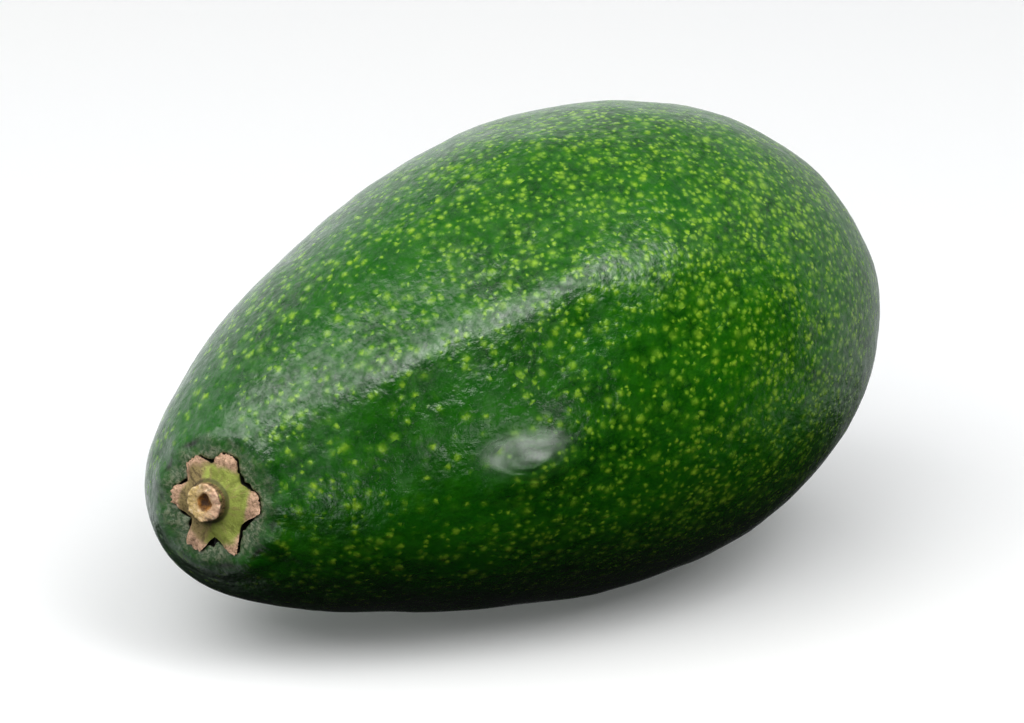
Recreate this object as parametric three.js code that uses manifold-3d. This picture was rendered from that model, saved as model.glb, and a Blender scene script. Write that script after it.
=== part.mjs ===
import * as THREE from 'three';
import { mergeVertices } from 'three/addons/utils/BufferGeometryUtils.js';
import Module from 'manifold-3d';

const wasm = await Module();
wasm.setup();

// All sizes are in mm. The fruit grows along X: stem end toward -X, blossom end toward +X.

// Body
const LENGTH = 118.4;
const WIDTH = 72;
// Share of the length that lies on the blossom side of the widest ring
const WIDEST_SHARE = 0.424;
// Share of the width that the neck loses toward the stem
const NECK_TAPER = 0.133;
// How far the neck's middle hangs below the body's middle, and how far it bends toward -Y
const NECK_DROP = 6.5;
const NECK_SIDE = 1.5;

// Soft lengthwise swells of the skin. Angle counts up from the -Y side, round the X axis.
// mid and reach are shares of the half length, counted from the widest ring toward the stem.
const SWELLS = [
  { angle: 42, height: 1.4, spread: 9, mid: 0.38, reach: 0.45 },
  { angle: 172, height: 0.7, spread: 20, mid: 0.3, reach: 0.5 },
  { angle: 238, height: 0.45, spread: 18, mid: 0.45, reach: 0.45 },
  { angle: 318, height: -0.4, spread: 18, mid: 0.2, reach: 0.5 },
  { angle: 10, height: 0.38, spread: 32, mid: -0.5, reach: 0.35 },
  { angle: 95, height: 0.37, spread: 30, mid: -0.5, reach: 0.35 },
  { angle: 2, height: 0.8, spread: 6, mid: 0.36, reach: 0.12 },
];

// Low unevenness of the skin: height and the two wave lengths that beat against each other
const LUMP_HEIGHT = 0.3;
const LUMP_WAVE = 34;
const RIPPLE_HEIGHT = 0.08;
const RIPPLE_WAVE = 13;

// Stem end: how far the stem sits off the pole, and in which direction
const STEM_SHIFT = 0.373;
const STEM_SHIFT_ANGLE = 22.7;

// Seat of the stem: skin flattened round the button, square to the ring of skin at this angle
const SEAT_RING = 14;
const SEAT_SINK = 0.35;
const SEAT_FLAT_RADIUS = 7.4;
const SEAT_BLEND_RADIUS = 12.5;
const SEAT_DEPTH = 1.3;
const SEAT_GAP = 0.3;
// Nothing deeper than this under the seat is moved by it
const SEAT_BEHIND = 12;

// Pinched folds that run outward from the seat
const FOLD_COUNT = 9;
const FOLD_HEIGHT = 0.22;
const FOLD_START = 7;
const FOLD_PEAK = 9.5;
const FOLD_END = 17;

// Blossom end: a dimple with a corky nub and wrinkles round it
const DIMPLE_DEPTH = 0.8;
const DIMPLE_RADIUS = 6;
const NUB_HEIGHT = 1.0;
const NUB_RADIUS = 1.9;
const WRINKLE_COUNT = 8;
const WRINKLE_HEIGHT = 0.13;
const WRINKLE_RADIUS = 4.5;
const WRINKLE_SPREAD = 2.4;

// Stem button: a six-lobed disc that carries the short cut stub.
// A lobe is full long over its tip's half angle and fades out at its foot's.
const VALLEY_RADIUS = 4.9;
// The lower this power, the rounder the outline where two lobes meet
const VALLEY_ROUNDING = 4;
const LOBES = [
  { angle: 8, reach: 7.1, tip: 11, foot: 43 },
  { angle: 74, reach: 7.5, tip: 9, foot: 44 },
  { angle: 123, reach: 7.1, tip: 9, foot: 46 },
  { angle: 178, reach: 7.3, tip: 8, foot: 40 },
  { angle: 242, reach: 7.8, tip: 9, foot: 29 },
  { angle: 295, reach: 7.6, tip: 3, foot: 33 },
];
const DISC_EDGE_HEIGHT = 0.15;
const DISC_DOME_HEIGHT = 0.8;
const DISC_UNDERSIDE = SEAT_DEPTH - SEAT_GAP;
const STUB_FOOT_RADIUS = 3.3;
const STUB_RADIUS = 2.8;
const STUB_HEIGHT = 2.5;
const HOLLOW_RADIUS = 0.9;
const HOLLOW_DEPTH = 0.9;
// The stub stands a little off the disc's middle
const STUB_SIDE = -0.65;
const STUB_UP = 0.45;
// The stub is not quite round and its cut is not quite level
const STUB_OVAL = 0.05;
const STUB_SLANT = 0.09;

// Pose: the fruit lies on its belly with the neck lower, on the small flat that its weight presses
const LIE_TILT = 5.4;
const FLAT_DEPTH = 0.4;

// Mesh fineness
const SKIN_ROUND = 84;
const SKIN_RINGS = 48;
// Moves rings toward both ends of the fruit
const RING_CROWDING = 0.2;
const BUTTON_ROUND = 84;

const SKIN_GREEN = 0x2c5a1d;
const STEM_OLIVE = 0x8d8a4c;

const { degToRad, radToDeg, smoothstep } = THREE.MathUtils;

function bell(distance, spread) {
  return Math.exp(-((distance / spread) ** 2));
}

function degreesApart(a, b) {
  const turn = (((a - b) % 360) + 540) % 360;
  return turn - 180;
}

// Direction on the unit sphere, with the pole carried from -X to where the stem sits
function towardStem(direction) {
  const near = ((1 - direction.x) / 2) ** 2;
  const way = degToRad(STEM_SHIFT_ANGLE);
  const shift = new THREE.Vector3(0, -Math.cos(way), Math.sin(way));
  return direction.clone().addScaledVector(shift, STEM_SHIFT * near).normalize();
}

// The egg-shaped body with its bent neck and its swells
function bodyPoint(direction) {
  const along = -direction.x;
  const neckLength = (1 - WIDEST_SHARE) * LENGTH;
  const blossomLength = WIDEST_SHARE * LENGTH;
  const mean = (neckLength + blossomLength) / 2;
  const difference = (neckLength - blossomLength) / 2;
  const halfLength = mean + difference * (1.5 * along - 0.5 * along ** 3);

  const angle = radToDeg(Math.atan2(direction.z, -direction.y));
  let swell = 0;
  for (const s of SWELLS) {
    swell += s.height * bell(degreesApart(angle, s.angle), s.spread) * bell(along - s.mid, s.reach);
  }

  const neck = Math.max(along, 0);
  const radius = (WIDTH / 2) * (1 - NECK_TAPER * smoothstep(neck, 0, 1)) + swell;
  return new THREE.Vector3(
    -halfLength * along,
    radius * direction.y - NECK_SIDE * neck * neck,
    radius * direction.z - NECK_DROP * neck * neck,
  );
}

function unevenness(p) {
  const l = (2 * Math.PI) / LUMP_WAVE;
  const lumps = Math.sin(l * p.x + 1.3 * Math.sin(l * p.y * 0.7))
    * Math.sin(l * (0.9 * p.y + 0.6 * p.z) + 0.6) * Math.sin(l * (0.85 * p.z - 0.5 * p.x) + 1.9);
  const r = (2 * Math.PI) / RIPPLE_WAVE;
  const ripples = Math.sin(r * p.x + 1.1 * Math.sin(r * p.z * 0.6))
    * Math.sin(r * 0.9 * p.y + 0.4) * Math.sin(r * (0.85 * p.z + 0.4 * p.x));
  return LUMP_HEIGHT * lumps + RIPPLE_HEIGHT * ripples;
}

// Origin and axes of the stem seat: out points away from the fruit, side and up lie in the seat
function seatFrame() {
  const ring = degToRad(SEAT_RING);
  const [front, top, back, bottom] = [[-1, 0], [0, 1], [1, 0], [0, -1]].map(([y, z]) => {
    const direction = new THREE.Vector3(-Math.cos(ring), y * Math.sin(ring), z * Math.sin(ring));
    return bodyPoint(towardStem(direction));
  });
  const across = back.clone().sub(front);
  const along = top.clone().sub(bottom);
  const out = new THREE.Vector3().crossVectors(along, across).normalize();
  const up = new THREE.Vector3(0, 0, 1).addScaledVector(out, -out.z).normalize();
  const side = new THREE.Vector3().crossVectors(up, out);
  const origin = front.add(top).add(back).add(bottom).divideScalar(4);
  return { origin: origin.addScaledVector(out, -SEAT_SINK), side, up, out };
}

const SEAT = seatFrame();

function skinPoint(direction) {
  const point = bodyPoint(towardStem(direction));

  const fromSeat = point.clone().sub(SEAT.origin);
  const across = fromSeat.dot(SEAT.side);
  const upward = fromSeat.dot(SEAT.up);
  const height = fromSeat.dot(SEAT.out);
  const seatRadius = Math.hypot(across, upward);
  const onStemEnd = height > -SEAT_BEHIND ? 1 : 0;
  const flatten = onStemEnd * (1 - smoothstep(seatRadius, SEAT_FLAT_RADIUS, SEAT_BLEND_RADIUS));

  const outward = new THREE.Vector3(
    point.x / (LENGTH / 2) ** 2,
    point.y / (WIDTH / 2) ** 2,
    point.z / (WIDTH / 2) ** 2,
  ).normalize();
  point.addScaledVector(outward, unevenness(point) * (1 - flatten));

  const foldRing = onStemEnd * smoothstep(seatRadius, FOLD_START, FOLD_PEAK)
    * (1 - smoothstep(seatRadius, FOLD_PEAK, FOLD_END));
  const seatAngle = Math.atan2(upward, across);
  const fold = Math.sin(FOLD_COUNT * seatAngle + 1.5 * Math.sin(2 * seatAngle + 0.7));
  point.addScaledVector(SEAT.out, FOLD_HEIGHT * foldRing * fold - height * flatten);

  if (point.x > 0) {
    const fromAxis = Math.hypot(point.y, point.z);
    const around = Math.atan2(point.z, point.y);
    const wrinkle = Math.sin(WRINKLE_COUNT * around + Math.sin(3 * around));
    point.x += NUB_HEIGHT * bell(fromAxis, NUB_RADIUS)
      - DIMPLE_DEPTH * bell(fromAxis, DIMPLE_RADIUS)
      + WRINKLE_HEIGHT * wrinkle * bell(fromAxis - WRINKLE_RADIUS, WRINKLE_SPREAD);
  }
  return point;
}

// Lengthens the button's outline over each lobe; grow widens the outline evenly for the seat
function outlineRadius(angle, grow) {
  const growAngle = radToDeg(grow / VALLEY_RADIUS);
  let joined = 0;
  for (const lobe of LOBES) {
    const off = Math.max(Math.abs(degreesApart(angle, lobe.angle)) - growAngle - lobe.tip, 0);
    const share = Math.max(1 - off / (lobe.foot - lobe.tip), 0) ** 2;
    joined += ((lobe.reach - VALLEY_RADIUS) * share) ** VALLEY_ROUNDING;
  }
  return VALLEY_RADIUS + joined ** (1 / VALLEY_ROUNDING) + grow;
}

function toSolid(geometry) {
  const bare = geometry.clone();
  bare.deleteAttribute('normal');
  bare.deleteAttribute('uv');
  const welded = mergeVertices(bare, 1e-4);
  return new wasm.Manifold(new wasm.Mesh({
    numProp: 3,
    vertProperties: new Float32Array(welded.attributes.position.array),
    triVerts: new Uint32Array(welded.index.array),
  }));
}

function toGeometry(solid) {
  const mesh = solid.getMesh();
  const geometry = new THREE.BufferGeometry();
  geometry.setAttribute('position', new THREE.BufferAttribute(mesh.vertProperties, 3));
  geometry.setIndex(new THREE.BufferAttribute(mesh.triVerts, 1));
  geometry.computeVertexNormals();
  return geometry;
}

// Moves every vertex of a geometry by a function of its old place
function reshape(geometry, move) {
  const place = geometry.attributes.position;
  const point = new THREE.Vector3();
  for (let i = 0; i < place.count; i += 1) {
    point.fromBufferAttribute(place, i);
    const moved = move(point);
    place.setXYZ(i, moved.x, moved.y, moved.z);
  }
  return geometry;
}

function skinGeometry() {
  const ball = new THREE.SphereGeometry(1, SKIN_ROUND, SKIN_RINGS);
  return reshape(ball, (p) => {
    const even = Math.acos(THREE.MathUtils.clamp(p.y, -1, 1));
    const crowded = even - RING_CROWDING * Math.sin(2 * even);
    const ring = Math.sin(crowded);
    const around = Math.atan2(p.z, p.x);
    const direction = new THREE.Vector3(
      -Math.cos(crowded),
      ring * Math.cos(around),
      ring * Math.sin(around),
    );
    return skinPoint(direction);
  });
}

// Carries a shape drawn round the Y axis to the stem seat, Y pointing out of the fruit
function ontoSeat(geometry) {
  const axes = new THREE.Matrix4().makeBasis(SEAT.side, SEAT.out, SEAT.up.clone().negate());
  axes.setPosition(SEAT.origin);
  return geometry.applyMatrix4(axes);
}

// Angle of a point round the Y axis, counted from side toward up as seen from outside
function angleOnSeat(p) {
  return radToDeg(Math.atan2(-p.z, p.x));
}

function seatCutter() {
  const profile = [
    new THREE.Vector2(0, -SEAT_DEPTH),
    new THREE.Vector2(VALLEY_RADIUS, -SEAT_DEPTH),
    new THREE.Vector2(VALLEY_RADIUS, SEAT_DEPTH),
    new THREE.Vector2(0, SEAT_DEPTH),
  ];
  const plug = new THREE.LatheGeometry(profile, BUTTON_ROUND);
  return ontoSeat(reshape(plug, (p) => {
    const share = Math.hypot(p.x, p.z) / VALLEY_RADIUS;
    if (share < 1e-6) return p;
    const scale = outlineRadius(angleOnSeat(p), SEAT_GAP) / VALLEY_RADIUS;
    return new THREE.Vector3(p.x * scale, p.y, p.z * scale);
  }));
}

function buttonGeometry() {
  const edge = VALLEY_RADIUS;
  const profile = [
    [0, -DISC_UNDERSIDE],
    [edge * 0.9, -DISC_UNDERSIDE],
    [edge * 0.98, -DISC_UNDERSIDE * 0.5],
    [edge, DISC_EDGE_HEIGHT * 0.5],
    [edge * 0.97, DISC_EDGE_HEIGHT],
    [edge * 0.84, DISC_EDGE_HEIGHT + (DISC_DOME_HEIGHT - DISC_EDGE_HEIGHT) * 0.55],
    [STUB_FOOT_RADIUS, DISC_DOME_HEIGHT],
    [STUB_RADIUS * 1.04, DISC_DOME_HEIGHT + 0.35],
    [STUB_RADIUS, DISC_DOME_HEIGHT + (STUB_HEIGHT - DISC_DOME_HEIGHT) * 0.5],
    [STUB_RADIUS * 1.02, STUB_HEIGHT - 0.25],
    [STUB_RADIUS * 0.9, STUB_HEIGHT],
    [HOLLOW_RADIUS * 1.5, STUB_HEIGHT - 0.1],
    [HOLLOW_RADIUS, STUB_HEIGHT - HOLLOW_DEPTH * 0.7],
    [0, STUB_HEIGHT - HOLLOW_DEPTH],
  ].map(([radius, height]) => new THREE.Vector2(radius, height));
  const lathe = new THREE.LatheGeometry(profile, BUTTON_ROUND);
  return ontoSeat(reshape(lathe, (p) => {
    const radius = Math.hypot(p.x, p.z);
    const angle = angleOnSeat(p);
    const onStub = smoothstep(p.y, DISC_DOME_HEIGHT, STUB_HEIGHT);
    const spread = smoothstep(radius, STUB_FOOT_RADIUS, VALLEY_RADIUS);
    const lobed = 1 + spread * (outlineRadius(angle, 0) / VALLEY_RADIUS - 1);
    const oval = 1 + onStub * STUB_OVAL * Math.sin(2 * degToRad(angle) + 0.6);
    const scale = lobed * oval;
    const carried = 1 - spread;
    return new THREE.Vector3(
      p.x * scale + carried * STUB_SIDE,
      p.y + onStub * STUB_SLANT * p.x,
      p.z * scale - carried * STUB_UP,
    );
  }));
}

// Turns a geometry from growing straight to lying down
function lieDown(geometry) {
  return geometry.rotateY(-degToRad(LIE_TILT));
}

function cutFlatSpot(solid, lowest) {
  const block = new THREE.BoxGeometry(2 * LENGTH, 2 * WIDTH, WIDTH);
  block.translate(0, 0, lowest + FLAT_DEPTH - WIDTH / 2);
  return solid.subtract(toSolid(block));
}

function makePart(name, geometry, color, roughness) {
  const material = new THREE.MeshStandardMaterial({ color, roughness, metalness: 0 });
  material.name = name;
  const part = new THREE.Mesh(geometry, material);
  part.name = name;
  return part;
}

const skin = lieDown(skinGeometry());
skin.computeBoundingBox();
const seated = toSolid(skin).subtract(toSolid(lieDown(seatCutter())));
const fruitGeometry = toGeometry(cutFlatSpot(seated, skin.boundingBox.min.z));
const stemGeometry = toGeometry(toSolid(lieDown(buttonGeometry())));

const whole = new THREE.Box3()
  .setFromBufferAttribute(fruitGeometry.attributes.position)
  .union(new THREE.Box3().setFromBufferAttribute(stemGeometry.attributes.position));
const middle = whole.getCenter(new THREE.Vector3());
for (const geometry of [fruitGeometry, stemGeometry]) {
  geometry.translate(-middle.x, -middle.y, -whole.min.z);
}

const avocado = new THREE.Group();
avocado.name = 'avocado';
avocado.add(makePart('fruit', fruitGeometry, SKIN_GREEN, 0.35));
avocado.add(makePart('stem_button', stemGeometry, STEM_OLIVE, 0.8));

export default avocado;
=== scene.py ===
"""A whole avocado lying on its side: the fine skin and the stem button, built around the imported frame."""

import math

import bpy
import numpy as np
from mathutils import Matrix, Vector, noise


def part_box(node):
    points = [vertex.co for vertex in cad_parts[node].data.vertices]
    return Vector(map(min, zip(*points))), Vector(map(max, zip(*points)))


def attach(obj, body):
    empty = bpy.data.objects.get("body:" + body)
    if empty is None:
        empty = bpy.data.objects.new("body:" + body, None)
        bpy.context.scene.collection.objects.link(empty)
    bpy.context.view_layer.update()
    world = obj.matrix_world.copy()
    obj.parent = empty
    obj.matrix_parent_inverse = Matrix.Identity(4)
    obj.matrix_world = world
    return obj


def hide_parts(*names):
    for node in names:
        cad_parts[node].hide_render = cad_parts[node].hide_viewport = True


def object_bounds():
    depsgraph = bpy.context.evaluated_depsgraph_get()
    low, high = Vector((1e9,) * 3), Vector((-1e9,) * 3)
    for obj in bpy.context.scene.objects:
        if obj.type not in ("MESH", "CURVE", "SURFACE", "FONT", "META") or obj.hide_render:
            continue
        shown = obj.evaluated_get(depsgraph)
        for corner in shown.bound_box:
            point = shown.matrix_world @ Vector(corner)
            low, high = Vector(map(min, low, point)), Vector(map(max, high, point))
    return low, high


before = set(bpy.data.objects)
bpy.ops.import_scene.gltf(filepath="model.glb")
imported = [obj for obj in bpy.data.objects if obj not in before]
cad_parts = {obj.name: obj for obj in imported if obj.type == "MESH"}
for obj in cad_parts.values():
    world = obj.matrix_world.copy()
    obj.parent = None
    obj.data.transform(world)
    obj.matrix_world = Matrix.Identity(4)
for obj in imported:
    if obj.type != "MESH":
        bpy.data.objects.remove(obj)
cad_low, cad_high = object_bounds()

MM = 0.001

# Body, in mm: the same values as the solid fruit
LENGTH = 118.4
WIDTH = 72
WIDEST_SHARE = 0.424
NECK_TAPER = 0.133
NECK_DROP, NECK_SIDE = 6.5, 1.5
# Lengthwise swells: angle, height, spread, mid, reach
SWELLS = [
    (42, 1.4, 9, 0.38, 0.45),
    (172, 0.7, 20, 0.3, 0.5),
    (238, 0.45, 18, 0.45, 0.45),
    (318, -0.4, 18, 0.2, 0.5),
    (10, 0.38, 32, -0.5, 0.35),
    (95, 0.37, 30, -0.5, 0.35),
    (2, 0.8, 6, 0.36, 0.12),
]
LUMP_HEIGHT, LUMP_WAVE = 0.3, 34
RIPPLE_HEIGHT, RIPPLE_WAVE = 0.08, 13

# Stem end
STEM_SHIFT, STEM_SHIFT_ANGLE = 0.373, 22.7
SEAT_RING = 14
SEAT_SINK = 0.35
SEAT_FLAT_RADIUS, SEAT_BLEND_RADIUS = 7.4, 12.5
SEAT_DEPTH = 1.3
SEAT_GAP = 0.3
SEAT_BEHIND = 12
FOLD_COUNT, FOLD_HEIGHT = 9, 0.22
FOLD_START, FOLD_PEAK, FOLD_END = 7, 9.5, 17
LIP_DROP, LIP_WIDTH = 0.16, 0.35
# Crack between skin and button: width at the lobes' ends and between the lobes, and its raggedness
CRACK_AT_TIP, CRACK_IN_VALLEY, CRACK_RAGGED = 0.1, 0.42, 0.28
# How far past the valleys a lobe's outline counts as its end, and the ragged waves: count, phase, share
LOBE_END = 1.6
CRACK_WAVES = [(11, 1, 1), (23, 2, 0.6), (37, 5, 0.3)]
# Walls and floor of the recess, from its middle outward: share of the radius and of the depth
RECESS_ROWS = [(0.5, 1), (0.985, 1), (1, 0.85), (1, 0.45)]
# Share of the skin's length, from the stem, in which its edge rolls inward
LIP_SHARE = 0.1
# Polar angles between which the rim of the recess is looked for, and the halvings of that search
RIM_LOW, RIM_HIGH, RIM_HALVINGS = 0.02, 0.6, 30

# Blossom end
DIMPLE_DEPTH, DIMPLE_RADIUS = 0.8, 6
NUB_HEIGHT, NUB_RADIUS = 1.0, 1.9
WRINKLE_COUNT, WRINKLE_HEIGHT = 8, 0.13
WRINKLE_RADIUS, WRINKLE_SPREAD = 4.5, 2.4

# Shiny blister on the front: where, and its half length and half height
BLISTER_ALONG, BLISTER_ANGLE = 0.36, 6
BLISTER_LENGTH, BLISTER_HEIGHT = 7.5, 3.6
BLISTER_TURN = 12
# How strongly the skin under the blister leans out along each axis
BLISTER_LEAN = (0.35, 1, 1)

# Stem button
VALLEY_RADIUS = 4.9
VALLEY_ROUNDING = 4
# Lobes: angle, reach, tip, foot
LOBES = [
    (8, 7.1, 11, 43),
    (74, 7.5, 9, 44),
    (123, 7.1, 9, 46),
    (178, 7.3, 8, 40),
    (242, 7.8, 9, 29),
    (295, 7.6, 3, 33),
]
DISC_EDGE_HEIGHT, DISC_DOME_HEIGHT = 0.15, 0.8
DISC_UNDERSIDE = SEAT_DEPTH - SEAT_GAP
STUB_FOOT_RADIUS, STUB_RADIUS, STUB_HEIGHT = 3.3, 2.8, 2.5
HOLLOW_RADIUS, HOLLOW_DEPTH = 0.9, 0.9
STUB_SIDE, STUB_UP = -0.65, 0.45
STUB_OVAL, STUB_SLANT = 0.05, 0.09
# Dry lobe ends: where they begin and are full, their lift, overhang and the depth of their notches
TIP_START, TIP_FULL = 5.4, 6.6
TIP_LIFT, TIP_OVERHANG, TIP_NOTCH = 0.26, 0.32, 0.9

# Noise of the button, wave in mm and shift: roughness, soft swells, notches and creases
ROUGH_WAVE, ROUGH_SHIFT = 0.55, (3, 1, 5)
SOFT_WAVE, SOFT_SHIFT = 1.4, (9, 2, 4)
NOTCH_WAVE, NOTCH_SHIFT = 0.8, (4, 7, 2)
CREASE_WAVE, CREASE_SHIFT = 0.42, (2, 8, 6)
CREASE_ROUND, CREASE_OUT = 4.5, 0.12
# Heights in mm of the soft swells and creases of the disc, and of both noises on the stub's rim
DISC_SWELL, DISC_CREASE = 0.05, 0.1
TIP_SWELL = 0.8
RIM_ROUGH, RIM_SOFT = 0.2, 0.16
# Share by which the stub bulges with each noise, and the corners of the hollow: count, phase, share
STUB_ROUGH, STUB_SOFT = 0.055, 0.06
HOLLOW_CORNERS = [(4, 0.9 + math.pi / 2, 0.12), (3, 2, 0.14)]
HOLLOW_SOFT = 0.3
HOLLOW_INNER = 0.2

LIE_TILT = 5.4
FLAT_DEPTH = 0.4

# Fineness of the visual skin and button
SKIN_ROUND, SKIN_RINGS = 384, 244
RING_CROWDING = 0.2
BUTTON_ROUND = 288
BUTTON_STEPS = 7
# Spans of the button's profile that lie below its upper edge
SPANS_BELOW_EDGE = 3
PEBBLE_HEIGHT, PEBBLE_WAVE = 0.035, 1.5
# Second, longer wave of the pebbling: times the first, its share and shift
PEBBLE_LONGER, PEBBLE_SHARE, PEBBLE_SHIFT = 2.2, 0.5, (7, 3, 1)


def smoothstep(value, low, high):
    share = np.clip((value - low) / (high - low), 0, 1)
    return share * share * (3 - 2 * share)


def bell(distance, spread):
    return np.exp(-((distance / spread) ** 2))


def degrees_apart(a, b):
    return (a - b + 180) % 360 - 180


def unit(vectors):
    return vectors / np.linalg.norm(vectors, axis=-1, keepdims=True)


def toward_stem(direction):
    """Carries the sphere's -X pole to where the stem sits."""
    near = ((1 - direction[..., :1]) / 2) ** 2
    way = math.radians(STEM_SHIFT_ANGLE)
    shift = np.array([0, -math.cos(way), math.sin(way)])
    return unit(direction + STEM_SHIFT * near * shift)


def body_point(direction):
    """A point of the bare body, in mm, for a direction on the sphere."""
    along = -direction[..., 0]
    neck_length, blossom_length = (1 - WIDEST_SHARE) * LENGTH, WIDEST_SHARE * LENGTH
    mean = (neck_length + blossom_length) / 2
    difference = (neck_length - blossom_length) / 2
    half_length = mean + difference * (1.5 * along - 0.5 * along**3)
    angle = np.degrees(np.arctan2(direction[..., 2], -direction[..., 1]))
    swell = 0
    for at, height, spread, mid, reach in SWELLS:
        swell = swell + height * bell(degrees_apart(angle, at), spread) * bell(along - mid, reach)
    neck = np.maximum(along, 0)
    radius = WIDTH / 2 * (1 - NECK_TAPER * smoothstep(neck, 0, 1)) + swell
    return np.stack(
        [
            -half_length * along,
            radius * direction[..., 1] - NECK_SIDE * neck * neck,
            radius * direction[..., 2] - NECK_DROP * neck * neck,
        ],
        -1,
    )


def unevenness(p):
    """The low lumps and ripples of the solid fruit."""
    x, y, z = p[..., 0], p[..., 1], p[..., 2]
    k = 2 * math.pi / LUMP_WAVE
    lumps = np.sin(k * x + 1.3 * np.sin(k * y * 0.7))
    lumps = lumps * np.sin(k * (0.9 * y + 0.6 * z) + 0.6) * np.sin(k * (0.85 * z - 0.5 * x) + 1.9)
    k = 2 * math.pi / RIPPLE_WAVE
    ripples = np.sin(k * x + 1.1 * np.sin(k * z * 0.6))
    ripples = ripples * np.sin(k * 0.9 * y + 0.4) * np.sin(k * (0.85 * z + 0.4 * x))
    return LUMP_HEIGHT * lumps + RIPPLE_HEIGHT * ripples


def seat_frame():
    """Origin and side, up and out axes of the flat place that carries the button."""
    ring = math.radians(SEAT_RING)
    ways = np.array([[-1, 0], [0, 1], [1, 0], [0, -1]])
    directions = np.stack(
        [np.full(4, -math.cos(ring)), ways[:, 0] * math.sin(ring), ways[:, 1] * math.sin(ring)], -1
    )
    front, top, back, bottom = body_point(toward_stem(directions))
    out = unit(np.cross(top - bottom, back - front))
    up = unit(np.array([0, 0, 1]) - out[2] * out)
    side = np.cross(up, out)
    origin = (front + top + back + bottom) / 4 - SEAT_SINK * out
    return origin, side, up, out


SEAT_ORIGIN, SEAT_SIDE, SEAT_UP, SEAT_OUT = seat_frame()


def skin_point(direction):
    """A point of the skin, in mm: the body with its unevenness, stem folds and blossom scar."""
    point = body_point(toward_stem(direction))
    from_seat = point - SEAT_ORIGIN
    across, upward, height = from_seat @ SEAT_SIDE, from_seat @ SEAT_UP, from_seat @ SEAT_OUT
    seat_radius = np.hypot(across, upward)
    on_stem_end = np.where(height > -SEAT_BEHIND, 1, 0)
    flatten = on_stem_end * (1 - smoothstep(seat_radius, SEAT_FLAT_RADIUS, SEAT_BLEND_RADIUS))
    outward = unit(point / np.array([LENGTH / 2, WIDTH / 2, WIDTH / 2]) ** 2)
    point = point + outward * (unevenness(point) * (1 - flatten))[..., None]

    fold_ring = on_stem_end * smoothstep(seat_radius, FOLD_START, FOLD_PEAK)
    fold_ring = fold_ring * (1 - smoothstep(seat_radius, FOLD_PEAK, FOLD_END))
    seat_angle = np.arctan2(upward, across)
    fold = np.sin(FOLD_COUNT * seat_angle + 1.5 * np.sin(2 * seat_angle + 0.7))
    point = point + SEAT_OUT * (FOLD_HEIGHT * fold_ring * fold - height * flatten)[..., None]

    from_axis = np.hypot(point[..., 1], point[..., 2])
    around = np.arctan2(point[..., 2], point[..., 1])
    wrinkle = np.sin(WRINKLE_COUNT * around + np.sin(3 * around))
    scar = (
        NUB_HEIGHT * bell(from_axis, NUB_RADIUS)
        - DIMPLE_DEPTH * bell(from_axis, DIMPLE_RADIUS)
        + WRINKLE_HEIGHT * wrinkle * bell(from_axis - WRINKLE_RADIUS, WRINKLE_SPREAD)
    )
    point[..., 0] += np.where(point[..., 0] > 0, scar, 0)
    return point


def outline_radius(angle, grow):
    """Radius of the lobed button at an angle in degrees, grown by a width all round."""
    grow_angle = np.degrees(grow / VALLEY_RADIUS)
    joined = 0
    for at, reach, tip, foot in LOBES:
        off = np.maximum(np.abs(degrees_apart(angle, at)) - grow_angle - tip, 0)
        share = np.maximum(1 - off / (foot - tip), 0) ** 2
        joined = joined + ((reach - VALLEY_RADIUS) * share) ** VALLEY_ROUNDING
    return VALLEY_RADIUS + joined ** (1 / VALLEY_ROUNDING) + grow


def rim_radius(angle):
    """Radius of the recess at an angle: the button's outline and the ragged crack round it."""
    turn = np.radians(angle)
    on_lobe = smoothstep(outline_radius(angle, 0), VALLEY_RADIUS, VALLEY_RADIUS + LOBE_END)
    ragged = sum(share * np.sin(count * turn + phase) for count, phase, share in CRACK_WAVES)
    width = CRACK_IN_VALLEY + (CRACK_AT_TIP - CRACK_IN_VALLEY) * on_lobe
    return outline_radius(angle, width * (1 + CRACK_RAGGED * ragged))


def direction_at(polar, around):
    ring = np.sin(polar)
    return np.stack([-np.cos(polar), ring * np.cos(around), ring * np.sin(around)], -1)


def in_seat(points):
    """Side, up and out coordinates of points in the stem's seat."""
    local = points - SEAT_ORIGIN
    return local @ SEAT_SIDE, local @ SEAT_UP, local @ SEAT_OUT


def onto_seat(local):
    """Points from side, up and out coordinates in the stem's seat."""
    return SEAT_ORIGIN + local[..., :1] * SEAT_SIDE + local[..., 1:2] * SEAT_UP + local[..., 2:] * SEAT_OUT


def lie_down(points):
    """Tilts the fruit so that it lies on its belly."""
    tilt = math.radians(LIE_TILT)
    x, y, z = points[..., 0], points[..., 1], points[..., 2]
    return np.stack(
        [x * math.cos(tilt) - z * math.sin(tilt), y, x * math.sin(tilt) + z * math.cos(tilt)], -1
    )


def grid_mesh(name, rings, first, last):
    """A closed mesh of rings of points, with a point at each end and its faces turned outward."""
    count, round_count = rings.shape[:2]
    points = [rings.reshape(-1, 3)]
    faces = []
    for i in range(count - 1):
        for j in range(round_count):
            k = (j + 1) % round_count
            a, b = i * round_count + j, i * round_count + k
            faces.append((b, b + round_count, a + round_count, a))
    for end, ring, flip in ((first, 0, False), (last, count - 1, True)):
        index = sum(len(p) for p in points)
        points.append(np.asarray(end, float).reshape(1, 3))
        start = ring * round_count
        for j in range(round_count):
            k = (j + 1) % round_count
            a, b = start + j, start + k
            faces.append((a, b, index) if flip else (b, a, index))
    mesh = bpy.data.meshes.new(name)
    mesh.from_pydata(np.concatenate(points).tolist(), [], faces)
    mesh.validate()
    mesh.update()
    mesh.polygons.foreach_set("use_smooth", [True] * len(mesh.polygons))
    return mesh


def add_object(name, mesh):
    piece = bpy.data.objects.new(name, mesh)
    bpy.context.scene.collection.objects.link(piece)
    return piece


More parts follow.
